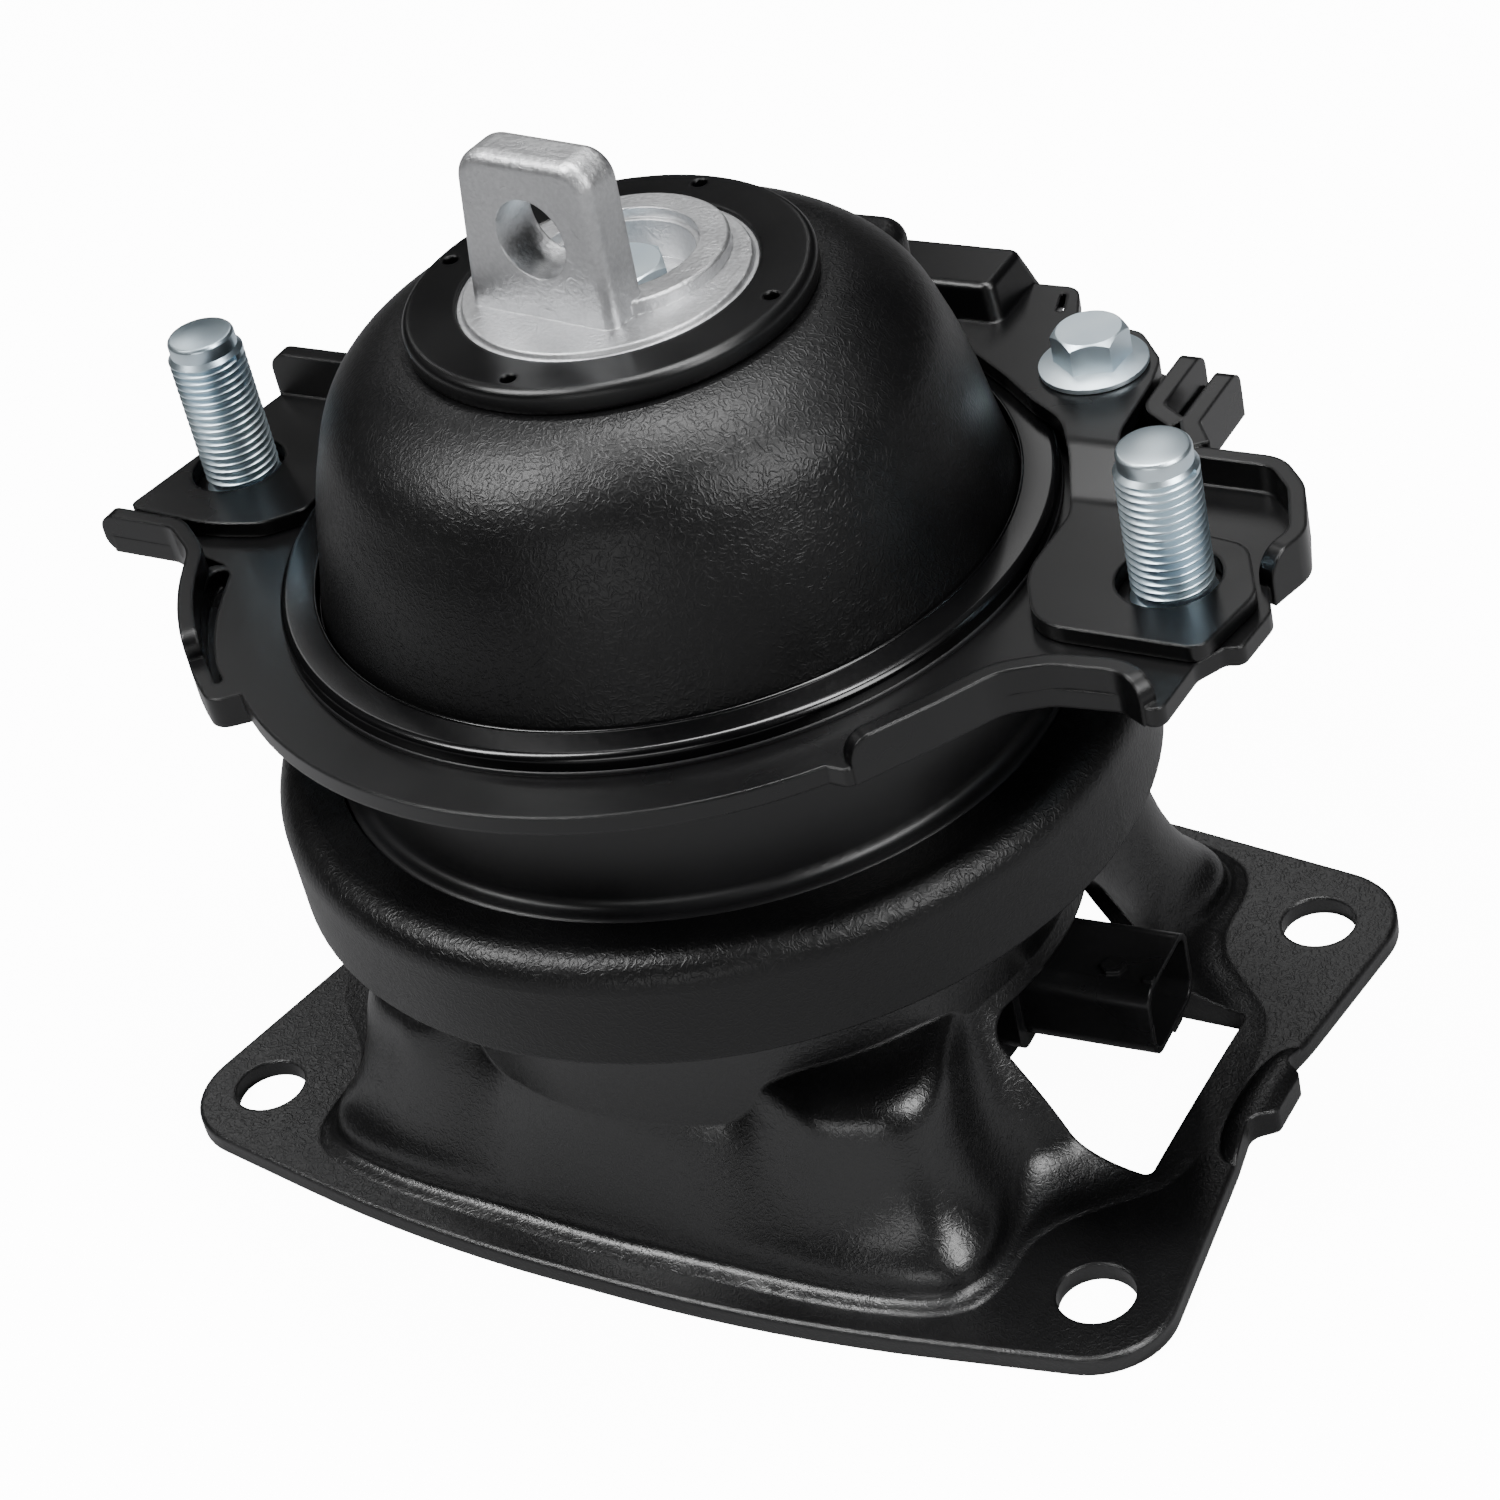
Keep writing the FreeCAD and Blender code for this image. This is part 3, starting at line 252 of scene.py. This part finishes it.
first = curled_ridges((0.3, 0.9, 0.2), 520.0, 0.11)
second = curled_ridges((1.4, 0.2, 2.2), 470.0, 0.09)
ridges = maths(skin, "MAXIMUM", first, maths(skin, "MULTIPLY", second, SECOND_SHARE))
grain = put(skin, "TexNoise", Detail=2.0)
join(skin, place.outputs["Object"], grain.inputs["Vector"])
join(skin, given.outputs["Grain per metre"], grain.inputs["Scale"])
fine = maths(skin, "MULTIPLY", grain.outputs["Fac"], GRAIN_SHARE)
height = maths(skin, "ADD", ridges, fine)
join(skin, height, gives.inputs["Height"])
slow = put(skin, "TexNoise", Scale=45.0, Detail=3.0)
join(skin, place.outputs["Object"], slow.inputs["Vector"])
join(skin, slow.outputs["Fac"], gives.inputs["Patches"])
print("group", skin.name)

# %% [markdown]
# Pressed and painted steel is smooth, with a slight orange peel. Its edges look lighter,
# because the paint is rounded there. The next group gives the peel and a slow cloud that
# varies the gloss.

# %% Group: orange peel
peel, given, gives = group("orange_peel", [("Peel per metre", 900.0)], ["Height", "Cloud"])
place = put(peel, "TexCoord")
dimples = put(peel, "TexNoise", Detail=1.0)
join(peel, place.outputs["Object"], dimples.inputs["Vector"])
join(peel, given.outputs["Peel per metre"], dimples.inputs["Scale"])
join(peel, dimples.outputs["Fac"], gives.inputs["Height"])
cloud = put(peel, "TexNoise", Scale=38.0, Detail=4.0)
join(peel, place.outputs["Object"], cloud.inputs["Vector"])
join(peel, cloud.outputs["Fac"], gives.inputs["Cloud"])
print("group", peel.name)

# %% [markdown]
# Cast and blasted aluminium carries fine short scratches in all directions, and zinc plate
# is cloudy. Three stretched noises, each turned another way, give hairlines, and a fourth
# noise breaks them into short pieces.

# %% Group: metal marks
marks, given, gives = group(
    "metal_marks", [("Fine per metre", 2600.0)], ["Scratches", "Cloud", "Grain"]
)
HAIR_WIDTH = 0.012
place = put(marks, "TexCoord")
scratch = None
for turn, stretch in ((0.5, 9.0), (2.1, 12.0), (1.2, 7.0)):
    turned = put(marks, "Mapping")
    turned.inputs["Rotation"].default_value = (turn, turn * 0.7, turn * 1.9)
    turned.inputs["Scale"].default_value = (1.0, stretch, 1.0)
    join(marks, place.outputs["Object"], turned.inputs["Vector"])
    hair = put(marks, "TexNoise", Scale=190.0, Detail=0.0)
    join(marks, turned.outputs[0], hair.inputs["Vector"])
    off = maths(marks, "ABSOLUTE", maths(marks, "SUBTRACT", hair.outputs["Fac"], 0.5))
    line = spread(marks, off, 0.0, HAIR_WIDTH, 1.0, 0.0)
    scratch = line if scratch is None else maths(marks, "MAXIMUM", scratch, line)
patch = put(marks, "TexNoise", Scale=260.0, Detail=1.0)
join(marks, place.outputs["Object"], patch.inputs["Vector"])
broken = maths(marks, "MULTIPLY", scratch, spread(marks, patch.outputs["Fac"], 0.5, 0.6))
join(marks, broken, gives.inputs["Scratches"])
cloud = put(marks, "TexNoise", Scale=70.0, Detail=4.0)
join(marks, place.outputs["Object"], cloud.inputs["Vector"])
join(marks, cloud.outputs["Fac"], gives.inputs["Cloud"])
grain = put(marks, "TexNoise", Detail=2.0)
join(marks, place.outputs["Object"], grain.inputs["Vector"])
join(marks, given.outputs["Fine per metre"], grain.inputs["Scale"])
join(marks, grain.outputs["Fac"], gives.inputs["Grain"])
print("group", marks.name)

# %% [markdown]
# The core is a casting. Its blasted skin is a grain of tiny pits, and a few hairlines cross it.
# This group reuses the marks and lays the scratches over the grain, as one height.

# %% Group: blasted casting
cast, given, gives = group("blasted_casting", [("Pits per metre", 1500.0)], ["Height", "Cloud"])
worn = cast.nodes.new("ShaderNodeGroup")
worn.node_tree = marks
join(cast, given.outputs["Pits per metre"], worn.inputs["Fine per metre"])
pits = spread(cast, worn.outputs["Grain"], 0.35, 0.65)
hairs = maths(cast, "MULTIPLY", worn.outputs["Scratches"], 0.8)
join(cast, maths(cast, "ADD", hairs, pits), gives.inputs["Height"])
half_cloud = maths(cast, "MULTIPLY", worn.outputs["Cloud"], 0.5)
half_grain = maths(cast, "MULTIPLY", worn.outputs["Grain"], 0.5)
join(cast, maths(cast, "ADD", half_cloud, half_grain), gives.inputs["Cloud"])
print("group", cast.name)

# %% [markdown]
# Each finish below is a Principled shader of its own. Its colour and its roughness drift
# between two values with the slow noise of its family, and the fine noise gives the relief.
# A Bevel node rounds the normals at the edges, as paint and plating do, so that a thin light
# line runs along an edge. The relief's depth and the edge's radius are in metres.

# %% Helper: one finish
finishes = {}


def finish(name, family, dark, light, rough, metallic=0.0, bump=0.2, depth=0.00004,
           edge=0.0004, level=0.5, **sizes):
    """Makes one finish. Level is the specular level, and sizes go to the family's sockets."""
    mat = bpy.data.materials.new(name)
    mat.use_nodes = True
    tree = mat.node_tree
    shader = tree.nodes["Principled BSDF"]
    pattern = tree.nodes.new("ShaderNodeGroup")
    pattern.node_tree = family
    for key, value in sizes.items():
        pattern.inputs[key.replace("_", " ")].default_value = value
    fine, slow = pattern.outputs[0], pattern.outputs[1]
    # a colour Mix keeps its two colours in sockets 6 and 7 and gives the blend in output 2
    tint = put(tree, "Mix", data_type="RGBA")
    tint.inputs[6].default_value = (*dark, 1)
    tint.inputs[7].default_value = (*light, 1)
    join(tree, spread(tree, slow, 0.35, 0.65), tint.inputs[0])
    join(tree, tint.outputs[2], shader.inputs["Base Color"])
    join(tree, spread(tree, slow, 0.3, 0.7, *rough), shader.inputs["Roughness"])
    shader.inputs["Metallic"].default_value = metallic
    shader.inputs["Specular IOR Level"].default_value = level
    relief = put(tree, "Bump", Strength=bump, Distance=depth)
    join(tree, fine, relief.inputs["Height"])
    if edge > 0:
        rounded = put(tree, "Bevel", samples=4, Radius=edge)
        join(tree, rounded.outputs[0], relief.inputs["Normal"])
    join(tree, relief.outputs[0], shader.inputs["Normal"])
    finishes[name] = mat
    return mat

# %% [markdown]
# Every finish of the record is made once, and two more for the scene's own pieces. Each has a
# dark and a light colour and the range of its roughness. The black coats are nearly black, so
# that they live from their reflections. The rubbers, the threads and the crimp ring go
# without the rounded edges.

# %% Finishes
finish("base_coat", skin, (0.0012, 0.0012, 0.0014), (0.0024, 0.0024, 0.0027), (0.28, 0.34),
       bump=0.28, depth=0.00006, edge=0.0008, level=0.75)
finish("rubber_skin", skin, (0.0012, 0.0012, 0.0014), (0.0024, 0.0024, 0.0026), (0.36, 0.43),
       bump=0.5, depth=0.00006, edge=0.0, level=0.38)
finish("inner_rubber", skin, (0.008, 0.008, 0.008), (0.013, 0.013, 0.013), (0.6, 0.7),
       bump=0.3, edge=0.0)
finish("bracket_coat", peel, (0.0008, 0.0008, 0.001), (0.0018, 0.0018, 0.002), (0.26, 0.33),
       bump=0.1, depth=0.00002, edge=0.0007)
crimp_coat = finish("crimp_coat", peel, (0.0008, 0.0008, 0.001), (0.0018, 0.0018, 0.002),
                    (0.17, 0.23), bump=0.08, depth=0.00002, edge=0.0)
finish("can_coat", peel, (0.005, 0.005, 0.006), (0.009, 0.009, 0.010), (0.30, 0.40),
       bump=0.2, depth=0.00002)
finish("housing_steel", peel, (0.006, 0.006, 0.0065), (0.010, 0.010, 0.011), (0.34, 0.44),
       bump=0.2, depth=0.00002)
finish("plug_plastic", peel, (0.005, 0.005, 0.0055), (0.009, 0.009, 0.0095), (0.24, 0.32),
       bump=0.25, depth=0.00002, Peel_per_metre=2500.0)
finish("bobbin_plastic", peel, (0.30, 0.23, 0.15), (0.40, 0.32, 0.22), (0.4, 0.5))
finish("zinc", marks, (0.74, 0.88, 0.98), (0.86, 0.96, 1.0), (0.38, 0.46),
       metallic=1.0, bump=0.06, depth=0.00002, edge=0.00015)
thread_zinc = finish("thread_zinc", marks, (0.68, 0.84, 0.95), (0.82, 0.94, 1.0), (0.29, 0.35),
                     metallic=1.0, bump=0.03, depth=0.00002, edge=0.0)
finish("cast_alloy", cast, (0.52, 0.525, 0.535), (0.66, 0.665, 0.675), (0.38, 0.48),
       metallic=1.0, bump=0.45, depth=0.00006, edge=0.0004)
finish("plate_alloy", marks, (0.56, 0.56, 0.57), (0.66, 0.66, 0.67), (0.3, 0.4),
       metallic=1.0, bump=0.1)
finish("tinned_brass", marks, (0.62, 0.58, 0.46), (0.74, 0.70, 0.56), (0.22, 0.32),
       metallic=1.0, bump=0.1)
finish("copper", marks, (0.52, 0.20, 0.09), (0.66, 0.28, 0.13), (0.28, 0.4),
       metallic=1.0, bump=0.1)
finish("core_iron", marks, (0.24, 0.24, 0.25), (0.32, 0.32, 0.33), (0.36, 0.5),
       metallic=1.0, bump=0.1)
finish("spring_steel", marks, (0.44, 0.44, 0.46), (0.54, 0.54, 0.56), (0.24, 0.36),
       metallic=1.0, bump=0.1)
finish("bronze", marks, (0.40, 0.26, 0.12), (0.52, 0.36, 0.18), (0.34, 0.46),
       metallic=1.0, bump=0.1)
print("finishes made:", len(finishes))

# %% [markdown]
# The record names a finish for every node. The same names are used here, and each material
# goes into the slot that the node already has.

# %% Dress the nodes
for part in frame["record"]["subparts"]:
    solid = nodes[part["node"]]
    material = finishes[part["material_slot"]]
    if not solid.material_slots:
        solid.data.materials.append(material)
    for slot in solid.material_slots:
        slot.material = material
    print(part["node"], "wears", part["material_slot"])

# %% [markdown]
# The scene's own pieces are turned parts. The helpers below draw a profile by pulling one
# vertex along, spin it round its axis, turn its faces outward, apply a modifier and give the
# piece its finish. Sizes are in mm.

# %% Helpers for modelling
def leave_edit_and_deselect():
    if bpy.context.object and bpy.context.object.mode != "OBJECT":
        bpy.ops.object.mode_set(mode="OBJECT")
    bpy.ops.object.select_all(action="DESELECT")


def draw(name, points, closed=False):
    """Draws a chain of edges through (x, z) points in mm, by pulling one vertex along."""
    leave_edit_and_deselect()
    x, z = points[0]
    bpy.ops.mesh.primitive_plane_add(size=MM, location=(x * MM, 0, z * MM))
    bpy.ops.object.transform_apply(location=True, rotation=False, scale=False)
    chain = bpy.context.object
    chain.name = name
    bpy.ops.object.mode_set(mode="EDIT")
    bpy.ops.mesh.merge(type="CENTER")
    for x2, z2 in points[1:]:
        pull = ((x2 - x) * MM, 0, (z2 - z) * MM)
        bpy.ops.mesh.extrude_region_move(TRANSFORM_OT_translate={"value": pull})
        x, z = x2, z2
    if closed:
        bpy.ops.mesh.select_all(action="SELECT")
        bpy.ops.mesh.edge_face_add()
        bpy.ops.mesh.delete(type="ONLY_FACE")
    bpy.ops.mesh.select_all(action="SELECT")
    return chain


def take(piece):
    leave_edit_and_deselect()
    piece.select_set(True)
    bpy.context.view_layer.objects.active = piece


def modify(piece, kind, **settings):
    """Adds a modifier and applies it."""
    take(piece)
    bpy.ops.object.modifier_add(type=kind)
    modifier = piece.modifiers[-1]
    for key, value in settings.items():
        setattr(modifier, key, value)
    bpy.ops.object.modifier_apply(modifier=modifier.name)


def close_up(piece, fill=False):
    """Joins doubled points, fills open ends if asked, and turns the faces outward."""
    take(piece)
    bpy.ops.object.mode_set(mode="EDIT")
    bpy.ops.mesh.select_all(action="SELECT")
    bpy.ops.mesh.remove_doubles(threshold=0.01 * MM)
    if fill:
        bpy.ops.mesh.select_all(action="DESELECT")
        bpy.ops.mesh.select_non_manifold()
        bpy.ops.mesh.fill()
        bpy.ops.mesh.select_all(action="SELECT")
    bpy.ops.mesh.normals_make_consistent(inside=False)
    bpy.ops.object.mode_set(mode="OBJECT")


def move_to(piece, x, y):
    take(piece)
    bpy.ops.transform.translate(value=(x * MM, y * MM, 0))
    bpy.ops.object.transform_apply(location=True, rotation=True, scale=True)


def smooth(piece, degrees):
    take(piece)
    bpy.ops.object.shade_smooth_by_angle(angle=math.radians(degrees))


def spin_round(piece, steps):
    """Spins the profile that was drawn last once round the upright axis at the origin."""
    bpy.ops.mesh.spin(steps=steps, angle=2 * math.pi, center=(0, 0, 0), axis=(0, 0, 1))
    close_up(piece)


def coat(piece, material):
    piece.data.materials.clear()
    piece.data.materials.append(material)

# %% [markdown]
# The studs are M12 by 1.25 and carry the engine bracket. The solids have a plain shank, and
# the thread is cut here as a lathe would: the shank is a profile spun round its axis, and a
# small trapezium, wound up by a Screw modifier, is taken away from it with a Boolean. The
# groove runs out on the cone under the plain tip, as a real thread does. Each stud takes its
# place, its head and its height from the box of the solid that it replaces.

# %% Cut a thread
PITCH = 1.25
STUD_R = 6.0
TIP_R = STUD_R - 0.65
KNURL_R = STUD_R + 0.3
NECK_R = STUD_R - 0.6
GROOVE_R = STUD_R - 0.74
HEAD_T = PLATE_T = 3.0
NECK_LONG = 1.8
ROOT_WIDTH = 0.18
FLANK_ANGLE = math.radians(30)
CLEAR = 0.08  # how far the groove's profile stands out of the shank
LEAD_IN = 1.0  # how far under the shank's foot the groove starts
RUN_OUT = 2.7  # how far under the top it ends


def threaded_stud(name, node):
    low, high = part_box(node)
    x, y = (low[0] + high[0]) / 2 / MM, (low[1] + high[1]) / 2 / MM
    head_r = (high[0] - low[0]) / 2 / MM
    head, top = low[2] / MM, high[2] / MM
    seat = head + HEAD_T
    plate = seat + PLATE_T
    foot = plate + NECK_LONG
    shank = [(0, head), (head_r - 0.4, head), (head_r, head + 0.4), (head_r, seat)]
    shank += [(KNURL_R, seat), (KNURL_R, plate), (NECK_R, plate + 0.6), (NECK_R, foot)]
    shank += [(STUD_R - 0.1, foot), (STUD_R, foot + 0.1), (STUD_R, top - 3.4)]
    shank += [(TIP_R, top - 2.6), (TIP_R, top - 0.7), (TIP_R - 0.1, top - 0.4)]
    shank += [(TIP_R - 0.35, top - 0.12), (TIP_R - 0.7, top), (0, top)]
    stud = draw(name, shank)
    spin_round(stud, 72)
    outside = STUD_R + CLEAR
    flank = (outside - GROOVE_R) * math.tan(FLANK_ANGLE)
    start = foot - LEAD_IN
    wedge = [(GROOVE_R, start), (GROOVE_R, start + ROOT_WIDTH)]
    wedge += [(outside, start + ROOT_WIDTH + flank), (outside, start - flank)]
    groove = draw("groove", wedge, closed=True)
    turns = int((top - RUN_OUT - start) / PITCH)
    modify(groove, "SCREW", axis="Z", angle=2 * math.pi, screw_offset=PITCH * MM, iterations=turns,
           steps=60, render_steps=60, use_merge_vertices=False)
    close_up(groove, fill=True)
    modify(stud, "BOOLEAN", operation="DIFFERENCE", object=groove, solver="EXACT")
    bpy.data.objects.remove(groove)
    move_to(stud, x, y)
    smooth(stud, 28)
    coat(stud, thread_zinc)
    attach(stud, "root")
    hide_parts(node)
    print(name, "turns", turns, "faces", len(stud.data.polygons))


threaded_stud("thread_left", "stud_left")
threaded_stud("thread_right", "stud_right")

# %% [markdown]
# The crimp ring is rolled over the foot of the dome. It is turned here in fine steps, so that
# the light runs round its rolled edge without a break, and it gets the thin raised bead that
# stands against the rubber. Its inner and outer radius are measured on the solid.

# %% Turn the crimp ring
crimp_low, crimp_high = (corner[2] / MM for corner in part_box("crimp_ring"))
radii = [math.hypot(v.co.x, v.co.y) / MM for v in nodes["crimp_ring"].data.vertices]
crimp_in, crimp_out = min(radii), max(radii)
EDGE_R, BEAD_W, BEAD_H = 1.3, 0.5, 0.25

rim = [(crimp_in, crimp_low), (crimp_out, crimp_low)]
for step in range(9):
    a = math.radians(90 * step / 8)
    out, rise = EDGE_R * math.cos(a), EDGE_R * math.sin(a)
    rim.append((crimp_out - EDGE_R + out, crimp_high - EDGE_R + rise))
rim += [(crimp_in + BEAD_W, crimp_high), (crimp_in + 0.9 * BEAD_W, crimp_high + 0.6 * BEAD_H)]
rim += [(crimp_in + share * BEAD_W, crimp_high + BEAD_H) for share in (0.6, 0.25)]
rim += [(crimp_in, crimp_high + 0.5 * BEAD_H)]
crimp = draw("crimp_turned", rim, closed=True)
spin_round(crimp, 240)
smooth(crimp, 50)
coat(crimp, crimp_coat)
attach(crimp, "root")
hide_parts("crimp_ring")
print("crimp from", round(crimp_in, 2), "to", round(crimp_out, 2))
print("crimp faces", len(crimp.data.polygons))
